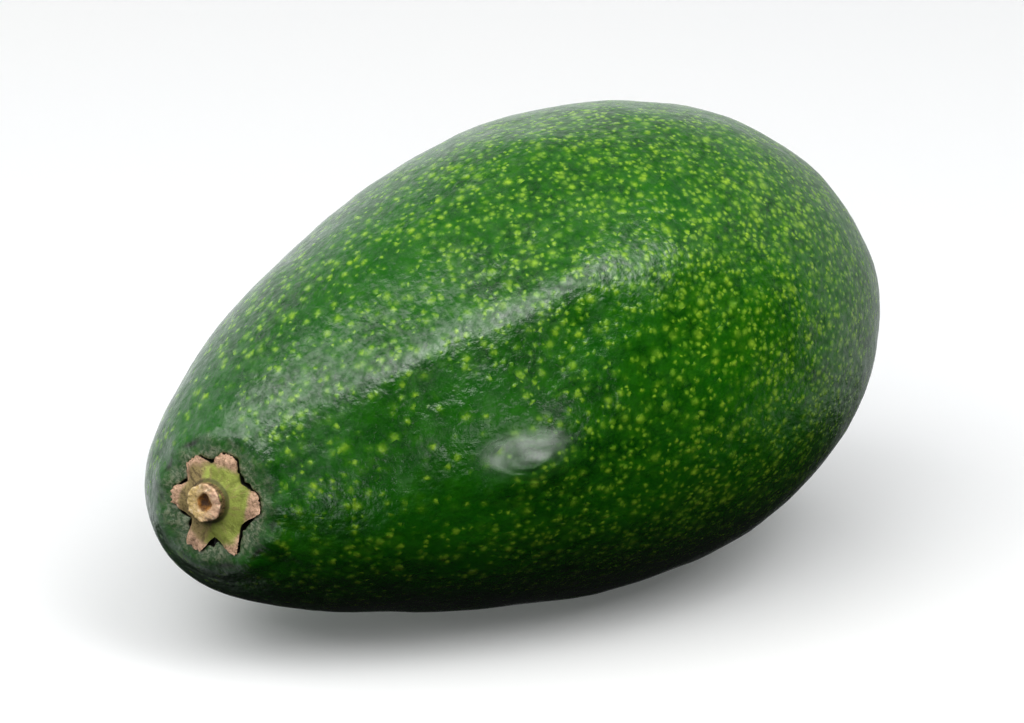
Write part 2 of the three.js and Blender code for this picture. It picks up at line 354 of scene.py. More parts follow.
def value_noise(points, wave, shift=(0, 0, 0)):
    """Smooth noise from -1 to 1 whose bumps are about wave wide."""
    flat = points.reshape(-1, 3) / wave + np.array(shift)
    return np.array([noise.noise(Vector(p)) for p in flat]).reshape(points.shape[:-1])


def star_polar(around):
    """Polar angle at which the skin meets the rim of the stem's recess, for each angle around."""
    low, high = np.full_like(around, RIM_LOW), np.full_like(around, RIM_HIGH)
    for _ in range(RIM_HALVINGS):
        middle = (low + high) / 2
        side, up, _ = in_seat(skin_point(direction_at(middle, around)))
        rim = rim_radius(np.degrees(np.arctan2(up, side)))
        inside = np.hypot(side, up) < rim
        low, high = np.where(inside, middle, low), np.where(inside, high, middle)
    return (low + high) / 2


def build_skin():
    """Rings of the skin, from the middle of the recess to the blossom end, and the point at each end."""
    around = np.linspace(0, 2 * math.pi, SKIN_ROUND + 1)[:-1]
    start = star_polar(around)
    even = np.linspace(0, math.pi, SKIN_RINGS + 1)[:-1]
    share = (even - RING_CROWDING * np.sin(2 * even)) / math.pi
    polar = start[None, :] + (math.pi - start[None, :]) * share[:, None]
    angle = np.broadcast_to(around, polar.shape)
    skin = skin_point(direction_at(polar, angle))

    # The rim of the recess rolls inward
    side, up, _ = in_seat(skin)
    past_rim = np.hypot(side, up) - rim_radius(np.degrees(np.arctan2(up, side)))
    rolled = LIP_DROP * np.exp(-np.maximum(past_rim, 0) / LIP_WIDTH)
    lip = np.where(share[:, None] < LIP_SHARE, rolled, 0)

    outward = unit(skin / np.array([LENGTH / 2, WIDTH / 2, WIDTH / 2]) ** 2)
    longer = value_noise(skin, PEBBLE_WAVE * PEBBLE_LONGER, PEBBLE_SHIFT)
    pebble = value_noise(skin, PEBBLE_WAVE) + PEBBLE_SHARE * longer
    skin = skin + outward * (PEBBLE_HEIGHT * pebble)[..., None] - SEAT_OUT * lip[..., None]

    side, up, height = in_seat(skin[0])
    recess = [
        onto_seat(np.stack([side * inward, up * inward, height * (1 - down) - SEAT_DEPTH * down], -1))
        for inward, down in RECESS_ROWS
    ]
    rings = np.concatenate([np.stack(recess), skin])
    first = SEAT_ORIGIN - SEAT_DEPTH * SEAT_OUT
    last = skin_point(direction_at(np.array([math.pi]), np.array([0.0])))[0]
    return rings, first, last


def placed(points, shift):
    """Points in metres where the fruit lies."""
    return (lie_down(points) + shift) * MM


rings, first, last = build_skin()
fruit_low, fruit_high = (np.array(c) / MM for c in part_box("fruit"))
lying = lie_down(rings).reshape(-1, 3)
shift = (fruit_low + fruit_high) / 2 - (lying.min(0) + lying.max(0)) / 2
shift[2] = fruit_low[2] - lying[:, 2].min() - FLAT_DEPTH
skin_rings = placed(rings, shift)
skin_rings[..., 2] = np.maximum(skin_rings[..., 2], fruit_low[2] * MM)
skin_mesh = grid_mesh("avocado_skin", skin_rings, placed(first, shift), placed(last, shift))
skin_piece = add_object("avocado_skin", skin_mesh)


def smooth_profile(points, steps):
    """Points of a Catmull-Rom curve through the profile."""
    p = np.array(points, float)
    padded = np.vstack([2 * p[0] - p[1], p, 2 * p[-1] - p[-2]])
    curve = []
    for i in range(len(p) - 1):
        a, b, c, d = padded[i : i + 4]
        for t in np.linspace(0, 1, steps + 1)[:-1]:
            curve.append(
                0.5 * (2 * b + (c - a) * t + (2 * a - 5 * b + 4 * c - d) * t**2
                       + (3 * b - a - 3 * c + d) * t**3)
            )
    curve.append(p[-1])
    return np.array(curve)


def build_button():
    """Rings of the button in the seat's coordinates, from the middle of its underside to the hollow."""
    edge = VALLEY_RADIUS
    rise = DISC_DOME_HEIGHT - DISC_EDGE_HEIGHT
    profile = [
        (0.15, -DISC_UNDERSIDE),
        (edge * 0.9, -DISC_UNDERSIDE),
        (edge * 0.98, -DISC_UNDERSIDE * 0.5),
        (edge, DISC_EDGE_HEIGHT * 0.5),
        (edge * 0.97, DISC_EDGE_HEIGHT),
        (edge * 0.84, DISC_EDGE_HEIGHT + rise * 0.55),
        (STUB_FOOT_RADIUS, DISC_DOME_HEIGHT),
        (STUB_RADIUS * 1.04, DISC_DOME_HEIGHT + 0.35),
        (STUB_RADIUS, DISC_DOME_HEIGHT + (STUB_HEIGHT - DISC_DOME_HEIGHT) * 0.5),
        (STUB_RADIUS * 1.02, STUB_HEIGHT - 0.25),
        (STUB_RADIUS * 0.9, STUB_HEIGHT),
        (HOLLOW_RADIUS * 1.5, STUB_HEIGHT - 0.1),
        (HOLLOW_RADIUS, STUB_HEIGHT - HOLLOW_DEPTH * 0.7),
        (0.12, STUB_HEIGHT - HOLLOW_DEPTH),
    ]
    curve = smooth_profile(profile, BUTTON_STEPS)
    radius, height = curve[:, :1], curve[:, 1:]
    around = np.linspace(0, 2 * math.pi, BUTTON_ROUND + 1)[:-1][None, :]
    degrees = np.degrees(around)
    on_stub = smoothstep(height, DISC_DOME_HEIGHT, STUB_HEIGHT)
    top = np.arange(len(curve))[:, None] > SPANS_BELOW_EDGE * BUTTON_STEPS
    spread = smoothstep(radius, STUB_FOOT_RADIUS, VALLEY_RADIUS)
    lobed = 1 + spread * (outline_radius(degrees, 0) / VALLEY_RADIUS - 1)
    oval = 1 + on_stub * STUB_OVAL * np.sin(2 * around + 0.6)
    x, y = radius * lobed * oval * np.cos(around), radius * lobed * oval * np.sin(around)
    z = height + on_stub * STUB_SLANT * x
    place = np.stack(np.broadcast_arrays(x, y, z), -1)

    # Ragged rim of the stub, rough hollow, wrinkled disc and dry, slightly lifted lobe ends
    far = np.hypot(place[..., 0], place[..., 1])
    rough = value_noise(place, ROUGH_WAVE, ROUGH_SHIFT)
    soft = value_noise(place, SOFT_WAVE, SOFT_SHIFT)
    notch = np.abs(value_noise(place * (1, 1, 0), NOTCH_WAVE, NOTCH_SHIFT))
    on_tip = smoothstep(far, TIP_START, TIP_FULL) * spread
    near_rim = on_stub * smoothstep(radius, HOLLOW_RADIUS, STUB_RADIUS)
    crease_at = np.broadcast_arrays(
        CREASE_ROUND * np.cos(around), CREASE_ROUND * np.sin(around), CREASE_OUT * far
    )
    creases = np.abs(value_noise(np.stack(crease_at, -1), CREASE_WAVE, CREASE_SHIFT))
    place[..., 2] += top * spread * (DISC_SWELL * soft - DISC_CREASE * creases)
    place[..., 2] += top * on_tip * TIP_LIFT * (1 + TIP_SWELL * soft)
    place[..., 2] += near_rim * (RIM_ROUGH * rough + RIM_SOFT * soft)
    sway = 1 + on_stub * (STUB_ROUGH * rough + STUB_SOFT * soft)
    ragged = (top * TIP_OVERHANG - TIP_NOTCH * notch) * on_tip / far
    in_hollow = on_stub * (1 - smoothstep(radius, HOLLOW_RADIUS, HOLLOW_RADIUS * 2))
    in_hollow = in_hollow * smoothstep(radius, HOLLOW_INNER, HOLLOW_RADIUS)
    corners = sum(share * np.sin(count * around + phase) for count, phase, share in HOLLOW_CORNERS)
    corner = in_hollow * (corners + HOLLOW_SOFT * soft)
    place[..., :2] *= (sway + corner + ragged)[..., None]
    place[..., :2] += (1 - spread)[..., None] * (STUB_SIDE, STUB_UP)
    return place


button_rings = placed(onto_seat(build_button()), shift)
button_mesh = grid_mesh(
    "avocado_stem_button", button_rings, button_rings[0].mean(0), button_rings[-1].mean(0)
)
stem_piece = add_object("avocado_stem_button", button_mesh)


def place_matrix(origin, axes):
    """Matrix in metres of a place on the lying fruit, from its origin and axes in mm."""
    matrix = Matrix(np.stack([lie_down(v) for v in axes], -1).tolist()).to_4x4()
    matrix.translation = Vector(placed(origin, shift).tolist())
    return matrix


seat_matrix = place_matrix(SEAT_ORIGIN, (SEAT_SIDE, SEAT_UP, SEAT_OUT))

# Shiny blister on the front: its middle, and axes along, up and out of the skin
blister_way = math.radians(BLISTER_ANGLE)
blister_ring = math.sqrt(1 - BLISTER_ALONG**2)
blister_direction = np.array(
    [-BLISTER_ALONG, -blister_ring * math.cos(blister_way), blister_ring * math.sin(blister_way)]
)
blister_origin = body_point(blister_direction)
blister_out = unit(blister_origin * np.array(BLISTER_LEAN))
blister_up = unit(np.array([0, 0, 1]) - blister_out[2] * blister_out)
blister_matrix = place_matrix(blister_origin, (np.cross(blister_up, blister_out), blister_up, blister_out))


# Materials


class Nodes:
    """Short calls for building a node tree."""

    def __init__(self, name):
        self.material = bpy.data.materials.new(name)
        self.material.use_nodes = True
        self.tree = self.material.node_tree
        self.shader = self.tree.nodes["Principled BSDF"]

    def add(self, kind, inputs=(), **settings):
        node = self.tree.nodes.new(kind)
        for key, value in settings.items():
            setattr(node, key, value)
        for key, value in dict(inputs).items():
            self.put(node.inputs[key], value)
        return node

    def put(self, socket, value):
        if isinstance(value, bpy.types.NodeSocket):
            self.tree.links.new(value, socket)
        else:
            socket.default_value = value

    def math(self, operation, a, b=0.0):
        return self.add("ShaderNodeMath", {0: a, 1: b}, operation=operation).outputs[0]

    def plus(self, a, b):
        return self.math("ADD", a, b)

    def minus(self, a, b):
        return self.math("SUBTRACT", a, b)

    def times(self, a, b):
        return self.math("MULTIPLY", a, b)

    def most(self, a, b):
        return self.math("MAXIMUM", a, b)

    def vector(self, operation, a, b=(0, 0, 0)):
        node = self.add("ShaderNodeVectorMath", {0: a, 1: b}, operation=operation)
        return node.outputs["Value" if operation == "LENGTH" else "Vector"]

    def scaled(self, vector, factor):
        node = self.add("ShaderNodeVectorMath", {0: vector, "Scale": factor}, operation="SCALE")
        return node.outputs["Vector"]

    def step(self, value, low, high, out_low=0.0, out_high=1.0):
        """Eases from one result to another between two values."""
        node = self.add(
            "ShaderNodeMapRange",
            {"Value": value, "From Min": low, "From Max": high, "To Min": out_low, "To Max": out_high},
            interpolation_type="SMOOTHSTEP",
        )
        return node.outputs["Result"]

    def noise(self, vector, wave, detail, rough=0.5, distortion=0.0, output="Fac"):
        return self.add(
            "ShaderNodeTexNoise",
            {"Vector": vector, "Scale": 1 / wave, "Detail": detail, "Roughness": rough,
             "Distortion": distortion},
        ).outputs[output]

    def wobbled(self, vector, where, wave, reach):
        """A vector, moved a little by the noise of a place."""
        bend = self.vector("SUBTRACT", self.noise(where, wave, 2, output="Color"), (0.5, 0.5, 0.5))
        return self.vector("ADD", vector, self.scaled(bend, reach))

    def length_of(self, x, y):
        return self.math("SQRT", self.plus(self.times(x, x), self.times(y, y)))

    def spokes(self, x, y, radius, around, outward):
        """Coordinates whose noise is drawn out into streaks away from a middle."""
        angle = self.math("ARCTAN2", y, x)
        return self.add(
            "ShaderNodeCombineXYZ",
            {0: self.times(self.math("COSINE", angle), around),
             1: self.times(self.math("SINE", angle), around),
             2: self.times(radius, outward)},
        ).outputs[0]

    def mix(self, share, a, b):
        node = self.add("ShaderNodeMix", data_type="RGBA")
        self.put(node.inputs[0], share)
        self.put(node.inputs[6], a)
        self.put(node.inputs[7], b)
        return node.outputs[2]

    def mix_value(self, share, a, b):
        return self.plus(self.times(share, b), self.times(self.minus(1.0, share), a))

    def bump(self, height, relief):
        """Relief of the shader's surface, with its height in mm."""
        node = self.add("ShaderNodeBump", {"Strength": 1.0, "Distance": relief * MM, "Height": height})
        self.put(self.shader.inputs["Normal"], node.outputs["Normal"])

    def local_mm(self, matrix):
        """Object coordinates in mm, seen from a place given by a matrix in metres."""
        place, turn, _ = matrix.decompose()
        node = self.add(
            "ShaderNodeMapping",
            {"Vector": self.add("ShaderNodeTexCoord").outputs["Object"],
             "Location": place, "Rotation": turn.to_euler(), "Scale": (MM, MM, MM)},
            vector_type="TEXTURE",
        )
        return node.outputs["Vector"]


def specks(n, where, size, small, large, rarity, seed):
    """Share of a speck and of the paler green round it at each point, and a random number."""
    shifted = n.vector("ADD", where, seed)
    cell = n.add("ShaderNodeTexVoronoi", {"Vector": shifted, "Scale": 1 / size}).outputs
    chance, width, tone = n.add("ShaderNodeSeparateColor", {0: cell["Color"]}).outputs[:3]
    reach = n.add(
        "ShaderNodeMapRange", {"Value": width, "To Min": small / size, "To Max": large / size}
    ).outputs["Result"]
    shown = n.math("GREATER_THAN", chance, rarity)
    core, glow = (
        n.times(n.step(cell["Distance"], n.times(reach, outer), n.times(reach, inner)), shown)
        for outer, inner in (SPECK_CORE, SPECK_GLOW)
    )
    return core, glow, tone


# Noises are written as wave in mm, detail, roughness and distortion. Ranges are written as the two values
# between which something changes, and then the two results where these aren't 0 and 1.

# Skin colour
PATCHES, PATCH_RANGE = (16, 3, 0.55), (0.38, 0.66)
MOTTLE, MOTTLE_RANGE = (3.2, 3, 0.6, 0.3), (0.35, 0.75, 0.0, 0.75)
GRAIN, GRAIN_RANGE = (0.45, 2, 0.6), (0.35, 0.75, 0.0, 0.35)

# Layers of specks: size of the cells, smallest and largest radius and shift, in mm, then the share that
# stays bare everywhere and the further share that stays bare where specks are few
BIG_SPECKS = (2.2, 0.5, 0.9, (0, 0, 0), 0.35, 0.35)
MID_SPECKS = (1.45, 0.38, 0.66, (31, 17, 5), 0.12, 0.45)
SMALL_SPECKS = (0.98, 0.28, 0.46, (11, 47, 23), 0.05, 0.85)
# Big specks are few near the stem, the others away from the wide end, and all in some patches
FEW_BIG = (9.0, 26.0, 1.0, 0.0)
FEW_SMALL = (-58.0, 40.0, 1.0, 0.0)
PATCH_DRIFT = (0.35, 0.65, -0.12, 0.12)
# Smooth flank below the keel, where specks are few: its middle in mm, and one over its reach each way
FLANK_MIDDLE = (-12, -33, 40)
FLANK_REACH = (1 / 34, 1 / 24, 1 / 15)
FLANK_DRIFT = (1.3, 0.5, 0.0, 0.32)
# A speck's core and the glow round it: where each begins and is full, in speck radii
SPECK_CORE = (1.1, 0.1)
SPECK_GLOW = (2.0, 0.5)
SPECK_WOBBLE = (0.8, 0.8)
# Free of specks near the stem and the scar
STEM_CLEAR, SCAR_CLEAR = (8.0, 14.0), (1.5, 5.0)
GLOW_SHARE = 0.55
FLECKS, FLECK_RANGE = (0.9, 1), (0.25, 0.65, 0.45, 1.0)

# Dull ring round the stem, with streaks that run outward, and painted shade in the crack inside it
STREAK_AROUND, STREAK_OUTWARD, STREAKS = 14.0, 0.25, (0.9, 3, 0.6)
RING_EDGE, RING_UNEVEN, RING_RANGE = (3.0, 2), 6.0, (9.6, 13.2, 1.0, 0.0)
SCURF, SCURF_SHARE, STREAK_SHARE, SCURF_RANGE = (0.6, 4, 0.65, 0.5), 0.8, 0.2, (0.42, 0.62)
RING_SHARE = 0.8
CRACK_SHADE_DEPTH, CRACK_SHADE_WITHIN = (-0.1, -0.45), (9.0, 10.0, 1.0, 0.0)

# Corky scar at the blossom end, with rays
RAY_AROUND, RAY_OUTWARD, RAYS = 5.0, 0.2, (1.0, 3, 0.6)
RAY_REACH, CORK_RANGE, CORK = 2.4, (0.6, 2.2, 1.0, 0.0), (0.5, 3)

# Shine: roughness of the skin and of its special places, and the bloom that dulls it here and there
SKIN_IOR = 1.6
GLOSS, GLOSS_RANGE = (5.0, 3, 0.6), (0.3, 0.7, 0.19, 0.29)
BLISTER_ROUGHNESS, RING_ROUGHER, CORK_ROUGHER = 0.28, 0.22, 0.3
BLOOM, BLOOM_RANGE = (1.1, 3, 0.6, 0.1), (0.34, 0.66, 0.25, 0.66)
BLISTER_WOBBLE, BLISTER_RANGE = (3.0, 2.2), (1.3, 0.65)
COAT_ROUGHNESS, COAT_IOR = 0.2, 2.15

# Relief of the skin: its height in mm, and the shares of each kind in it
SKIN_RELIEF = 0.2
PEBBLES, PEBBLES_RISE = (1.5, 1), 0.65
PITS, PITS_RISE = (0.5, 2, 0.5), 0.3
ROLLS, ROLLS_RISE = (4.0, 1), 0.6
SPECK_RISE, RAY_RISE = 0.14, 1.5
STREAK_RANGE = (10.0, 21.0, 0.5, 0.0)
# Blister: its level, how far it smooths the relief, and its round wrinkles
BLISTER_LEVEL, BLISTER_SMOOTHS = 0.82, 0.9
BLISTER_WRINKLES, BLISTER_WRINKLE_RISE = 19.0, 0.15


def skin_material():
    n = Nodes("avocado_skin")
    here = n.local_mm(Matrix.Identity(4))
    at_stem = n.local_mm(seat_matrix)
    at_scar = n.local_mm(Matrix.Translation(Vector(placed(last, shift).tolist())))
    stem_radius = n.vector("LENGTH", at_stem)
    scar_radius = n.vector("LENGTH", at_scar)

    patches = n.noise(here, *PATCHES)
    color = n.mix(n.step(patches, *PATCH_RANGE), SKIN_DEEP, SKIN_FRESH)
    color = n.mix(n.step(n.noise(here, *MOTTLE), *MOTTLE_RANGE), color, SKIN_LIGHT)
    color = n.mix(n.step(n.noise(here, *GRAIN), *GRAIN_RANGE), color, SKIN_LIGHT)

    # Specks of three sizes; small ones crowd toward the wide end
    bent = n.wobbled(here, here, *SPECK_WOBBLE)
    few_big = n.step(stem_radius, *FEW_BIG)
    few_small = n.step(n.add("ShaderNodeSeparateXYZ", {0: here}).outputs["X"], *FEW_SMALL)
    off_flank = n.vector("MULTIPLY", n.vector("SUBTRACT", here, FLANK_MIDDLE), FLANK_REACH)
    flank = n.step(n.vector("LENGTH", off_flank), *FLANK_DRIFT)
    drift = n.plus(n.step(patches, *PATCH_DRIFT), flank)
    layers = []
    for layer, few in (BIG_SPECKS, few_big), (MID_SPECKS, few_small), (SMALL_SPECKS, few_small):
        size, small, large, seed, bare, more_bare = layer
        rarity = n.plus(n.times(few, more_bare), n.plus(bare, drift))
        layers.append(specks(n, bent, size, small, large, rarity, seed))
    (big, big_glow, big_tone), (mid, mid_glow, mid_tone), (small, small_glow, _) = layers
    clear = n.times(n.step(stem_radius, *STEM_CLEAR), n.step(scar_radius, *SCAR_CLEAR))
    speck = n.times(n.most(n.most(big, mid), small), clear)
    glow = n.times(n.most(n.most(big_glow, mid_glow), small_glow), clear)
    speck_color = n.mix(n.times(n.plus(big_tone, mid_tone), 0.5), SPECK_GREEN, SPECK_YELLOW)
    color = n.mix(n.times(glow, GLOW_SHARE), color, SKIN_GLOW)
    strength = n.step(n.noise(here, *FLECKS), *FLECK_RANGE)
    color = n.mix(n.times(speck, strength), color, speck_color)

    # Dull, streaked ring of skin round the stem
    side, up, out = n.add("ShaderNodeSeparateXYZ", {0: at_stem}).outputs
    spokes = n.spokes(side, up, n.length_of(side, up), STREAK_AROUND, STREAK_OUTWARD)
    streak = n.noise(spokes, *STREAKS)
    uneven = n.plus(stem_radius, n.times(n.noise(at_stem, *RING_EDGE), RING_UNEVEN))
    ring = n.step(uneven, *RING_RANGE)
    scurf = n.plus(n.times(n.noise(at_stem, *SCURF), SCURF_SHARE), n.times(streak, STREAK_SHARE))
    ring_color = n.mix(n.step(scurf, *SCURF_RANGE), RING_DARK, RING_GREY)
    color = n.mix(n.times(ring, RING_SHARE), color, ring_color)
    # Walls of the recess painted near black as shade in the crack
    crack_shade = n.times(n.step(out, *CRACK_SHADE_DEPTH), n.step(stem_radius, *CRACK_SHADE_WITHIN))
    color = n.mix(crack_shade, color, CRACK_SHADE)

    # Corky scar with brown rays at the blossom end
    _, along, upward = n.add("ShaderNodeSeparateXYZ", {0: at_scar}).outputs
    rays = n.noise(n.spokes(along, upward, scar_radius, RAY_AROUND, RAY_OUTWARD), *RAYS)
    cork = n.step(n.minus(scar_radius, n.times(rays, RAY_REACH)), *CORK_RANGE)
    cork_color = n.mix(n.noise(at_scar, *CORK), CORK_DARK, CORK_LIGHT)
    n.put(n.shader.inputs["Base Color"], n.mix(cork, color, cork_color))

    # Shine, with a clear skin over the blister
    turned = n.add("ShaderNodeMapping", {
        "Vector": n.wobbled(n.local_mm(blister_matrix), here, *BLISTER_WOBBLE),
        "Rotation": (0, 0, math.radians(-BLISTER_TURN)),
        "Scale": (1 / BLISTER_LENGTH, 1 / BLISTER_HEIGHT, 1 / BLISTER_LENGTH)}).outputs[0]
    blister_radius = n.vector("LENGTH", turned)
    blister = n.step(blister_radius, *BLISTER_RANGE)
    rough = n.mix_value(blister, n.step(n.noise(here, *GLOSS), *GLOSS_RANGE), BLISTER_ROUGHNESS)
    rough = n.plus(rough, n.times(ring, RING_ROUGHER))
    rough = n.plus(rough, n.times(cork, CORK_ROUGHER))
    n.put(n.shader.inputs["Roughness"], rough)
    n.put(n.shader.inputs["IOR"], SKIN_IOR)
    n.put(n.shader.inputs["Specular IOR Level"], n.step(n.noise(here, *BLOOM), *BLOOM_RANGE))
    n.put(n.shader.inputs["Coat Weight"], blister)
    n.put(n.shader.inputs["Coat Roughness"], COAT_ROUGHNESS)
    n.put(n.shader.inputs["Coat IOR"], COAT_IOR)

    # Pebbling, fine grain, specks, the streaks round the stem and the wrinkled blister
    height = n.times(n.noise(here, *PEBBLES), PEBBLES_RISE)
    height = n.plus(height, n.times(n.noise(here, *PITS), PITS_RISE))
    height = n.plus(height, n.times(n.noise(here, *ROLLS), ROLLS_RISE))
    height = n.plus(height, n.times(speck, SPECK_RISE))
    height = n.plus(height, n.times(streak, n.step(uneven, *STREAK_RANGE)))
    height = n.plus(height, n.times(scurf, ring))
    height = n.plus(height, n.times(n.times(rays, cork), RAY_RISE))
    wrinkles = n.math("SINE", n.times(blister_radius, BLISTER_WRINKLES))
    wrinkled = n.plus(n.times(wrinkles, BLISTER_WRINKLE_RISE), BLISTER_LEVEL)
    height = n.mix_value(n.times(blister, BLISTER_SMOOTHS), height, wrinkled)
    n.bump(height, SKIN_RELIEF)
    return n.material


# Button: its noises
BLOTCHES, FIBRES, SPECKLES = (1.6, 3, 0.6, 0.4), (0.4, 4, 0.65, 0.6), (0.18, 2)
FIBRE_STRETCH = (1, 1, 0.3)
VEIN_AROUND, VEIN_OUTWARD, VEINS = 5.0, 0.3, (0.6, 3, 0.6)
# Disc: bright and veined at the right, dry and stranded at the left
BRIGHT_RANGE, VEIN_RANGE = (0.35, 0.65), (0.52, 0.7, 0.0, 0.5)
DRY_BLOTCHES, DRY_RANGE, DRY_SHARE = 4.0, (1.6, -0.4), 0.85
STRAND_RANGE = (0.5, 0.66, 0.0, 0.65)
# Dry lobe ends, their edge set back here and there
TIP_EDGE, TIP_UNEVEN, TIP_RANGE, TIP_FIBRES = (3.6, 1), 3.0, (7.4, 8.3), (0.3, 0.6)
# Bark of the stub and the painted shade line round its foot
BARK_LEVEL, BARK_WITHIN, BARK_RANGE = (1.0, 1.5), (3.2, 2.95), (0.35, 0.65)
FOOT_SHADE_RADIUS, FOOT_SHADE_WIDTH, FOOT_SHADE_LEVEL, FOOT_SHADE_SHARE = 3.0, (0.45, 0.1), (1.5, 1.1), 0.75
# Cut: cream at one side and pink at the other, with dark crumbs and pale crumbs that are partly painted
# glints
CUT_UNEVEN, CUT_LEVEL, CUT_WITHIN = 0.4, (2.2, 2.45), (2.95, 2.75)
CUT_SLOPE, CUT_SIDES = 0.2, (0.0, 1.1)
CRUMBS, CRUMB_PALE_AND_GLINT, CRUMB_DARK = (0.55, 3, 0.6), (0.5, 0.7, 0.0, 0.8), (0.42, 0.3, 0.0, 0.7)
SPECKLE_DARK = (0.58, 0.7, 0.0, 0.6)
# Hollow in the cut, ochre at its rim and painted darker toward its bottom as shade
HOLLOW_FIBRES, HOLLOW_WITHIN, HOLLOW_LEVEL, HOLLOW_SHADE_RANGE = 0.7, (1.75, 1.35), (1.2, 1.4), (2.1, 2.7)
# Below this level the button is painted near black as shade in the crack
UNDER_DISC_SHADE = (0.0, -0.35)
# Surface of the button
BUTTON_ROUGHNESS, BUTTON_IOR = (0.3, 0.7, 0.55, 0.8), 1.45
BUTTON_RELIEF, SPECKLE_RISE = 0.12, 0.35


def stem_material():
    n = Nodes("stem_button")
    here = n.local_mm(seat_matrix)
    x, y, z = n.add("ShaderNodeSeparateXYZ", {0: here}).outputs
    radius = n.length_of(x, y)
    stub_x, stub_y = n.minus(x, STUB_SIDE), n.minus(y, STUB_UP)
    stub_radius = n.length_of(stub_x, stub_y)
    blotch = n.noise(here, *BLOTCHES)
    stretched = n.add("ShaderNodeMapping", {"Vector": here, "Scale": FIBRE_STRETCH}).outputs[0]
    fibre = n.noise(stretched, *FIBRES)
    speckle = n.noise(here, *SPECKLES)
    vein = n.noise(n.spokes(x, y, radius, VEIN_AROUND, VEIN_OUTWARD), *VEINS)

    # Green flesh of the disc, drier toward the left, with fine veins that run outward
    color = n.mix(n.step(blotch, *BRIGHT_RANGE), DISC_OLIVE, DISC_BRIGHT)
    color = n.mix(n.step(vein, *VEIN_RANGE), color, DISC_TAN)
    dry = n.step(n.plus(x, n.times(blotch, DRY_BLOTCHES)), *DRY_RANGE)
    color = n.mix(n.times(dry, DRY_SHARE), color, DISC_TAN)
    strands = n.step(n.most(fibre, vein), *STRAND_RANGE)
    color = n.mix(n.times(dry, strands), color, BARK_DARK_AND_SHADE)
    ragged = n.plus(radius, n.plus(blotch, n.times(n.noise(here, *TIP_EDGE), TIP_UNEVEN)))
    tip_color = n.mix(n.step(fibre, *TIP_FIBRES), TIP_BROWN, TIP_PINK)
    color = n.mix(n.step(ragged, *TIP_RANGE), color, tip_color)

    # Bark of the stub and painted shade round its foot
    on_stub = n.times(n.step(z, *BARK_LEVEL), n.step(stub_radius, *BARK_WITHIN))
    color = n.mix(on_stub, color, n.mix(n.step(fibre, *BARK_RANGE), BARK_DARK_AND_SHADE, BARK_TAN))
    # A ring round the stub's foot is painted dark as shade
    from_foot = n.math("ABSOLUTE", n.minus(stub_radius, FOOT_SHADE_RADIUS))
    foot = n.times(n.step(from_foot, *FOOT_SHADE_WIDTH), n.step(z, *FOOT_SHADE_LEVEL))
    color = n.mix(n.times(foot, FOOT_SHADE_SHARE), color, BARK_DARK_AND_SHADE)

    # Crumbly cut with its hollow
    cut_level = n.plus(z, n.times(blotch, CUT_UNEVEN))
    cut = n.times(n.step(cut_level, *CUT_LEVEL), n.step(stub_radius, *CUT_WITHIN))
    cut_side = n.plus(n.times(stub_x, CUT_SLOPE), blotch)
    cut_color = n.mix(n.step(cut_side, *CUT_SIDES), CUT_CREAM, CUT_PINK)
    crumbs = n.noise(here, *CRUMBS)
    # Pale crumbs, partly painted glints on the cut
    cut_color = n.mix(n.step(crumbs, *CRUMB_PALE_AND_GLINT), cut_color, CUT_PALE_AND_GLINT)
    cut_color = n.mix(n.step(crumbs, *CRUMB_DARK), cut_color, BARK_TAN)
    cut_color = n.mix(n.step(speckle, *SPECKLE_DARK), cut_color, BARK_TAN)
    color = n.mix(cut, color, cut_color)
    hollow_edge = n.plus(stub_radius, n.times(fibre, HOLLOW_FIBRES))
    hollow = n.times(n.step(hollow_edge, *HOLLOW_WITHIN), n.step(z, *HOLLOW_LEVEL))
    # The hollow's own ochre turns to painted shade toward its bottom
    hollow_ochre_and_shade = n.mix(n.step(n.plus(z, crumbs), *HOLLOW_SHADE_RANGE), HOLLOW_DEEP_SHADE, HOLLOW_OCHRE)
    color = n.mix(hollow, color, hollow_ochre_and_shade)
    # The button under the disc's rim is painted near black as shade in the crack
    n.put(n.shader.inputs["Base Color"], n.mix(n.step(z, *UNDER_DISC_SHADE), color, CRACK_SHADE))

    n.put(n.shader.inputs["Roughness"], n.step(fibre, *BUTTON_ROUGHNESS))
    n.put(n.shader.inputs["IOR"], BUTTON_IOR)
    n.bump(n.plus(fibre, n.times(speckle, SPECKLE_RISE)), BUTTON_RELIEF)
    return n.material


# Floor: faint clouds, with their wave in metres, and a little light of its own
FLOOR_CLOUDS, FLOOR_RANGE = (0.4, 2), (0.3, 0.7)
FLOOR_ROUGHNESS, FLOOR_GLOW = 0.7, 0.12


def floor_material():
    n = Nodes("studio_floor")
    clouds = n.noise(n.add("ShaderNodeTexCoord").outputs["Object"], *FLOOR_CLOUDS)
    n.put(n.shader.inputs["Base Color"], n.mix(n.step(clouds, *FLOOR_RANGE), FLOOR_COOL, FLOOR_WARM))
    n.put(n.shader.inputs["Roughness"], FLOOR_ROUGHNESS)
    n.put(n.shader.inputs["Emission Color"], FLOOR_COOL)
    n.put(n.shader.inputs["Emission Strength"], FLOOR_GLOW)
    return n.material


# Linear colours
SKIN_DEEP = (0.0018, 0.044, 0.0008, 1)
SKIN_FRESH = (0.005, 0.088, 0.001, 1)
SKIN_LIGHT = (0.017, 0.14, 0.002, 1)
SKIN_GLOW = (0.045, 0.2, 0.003, 1)
SPECK_GREEN = (0.13, 0.33, 0.02, 1)
SPECK_YELLOW = (0.34, 0.57, 0.03, 1)
RING_DARK = (0.035, 0.085, 0.025, 1)
RING_GREY = (0.3, 0.32, 0.21, 1)
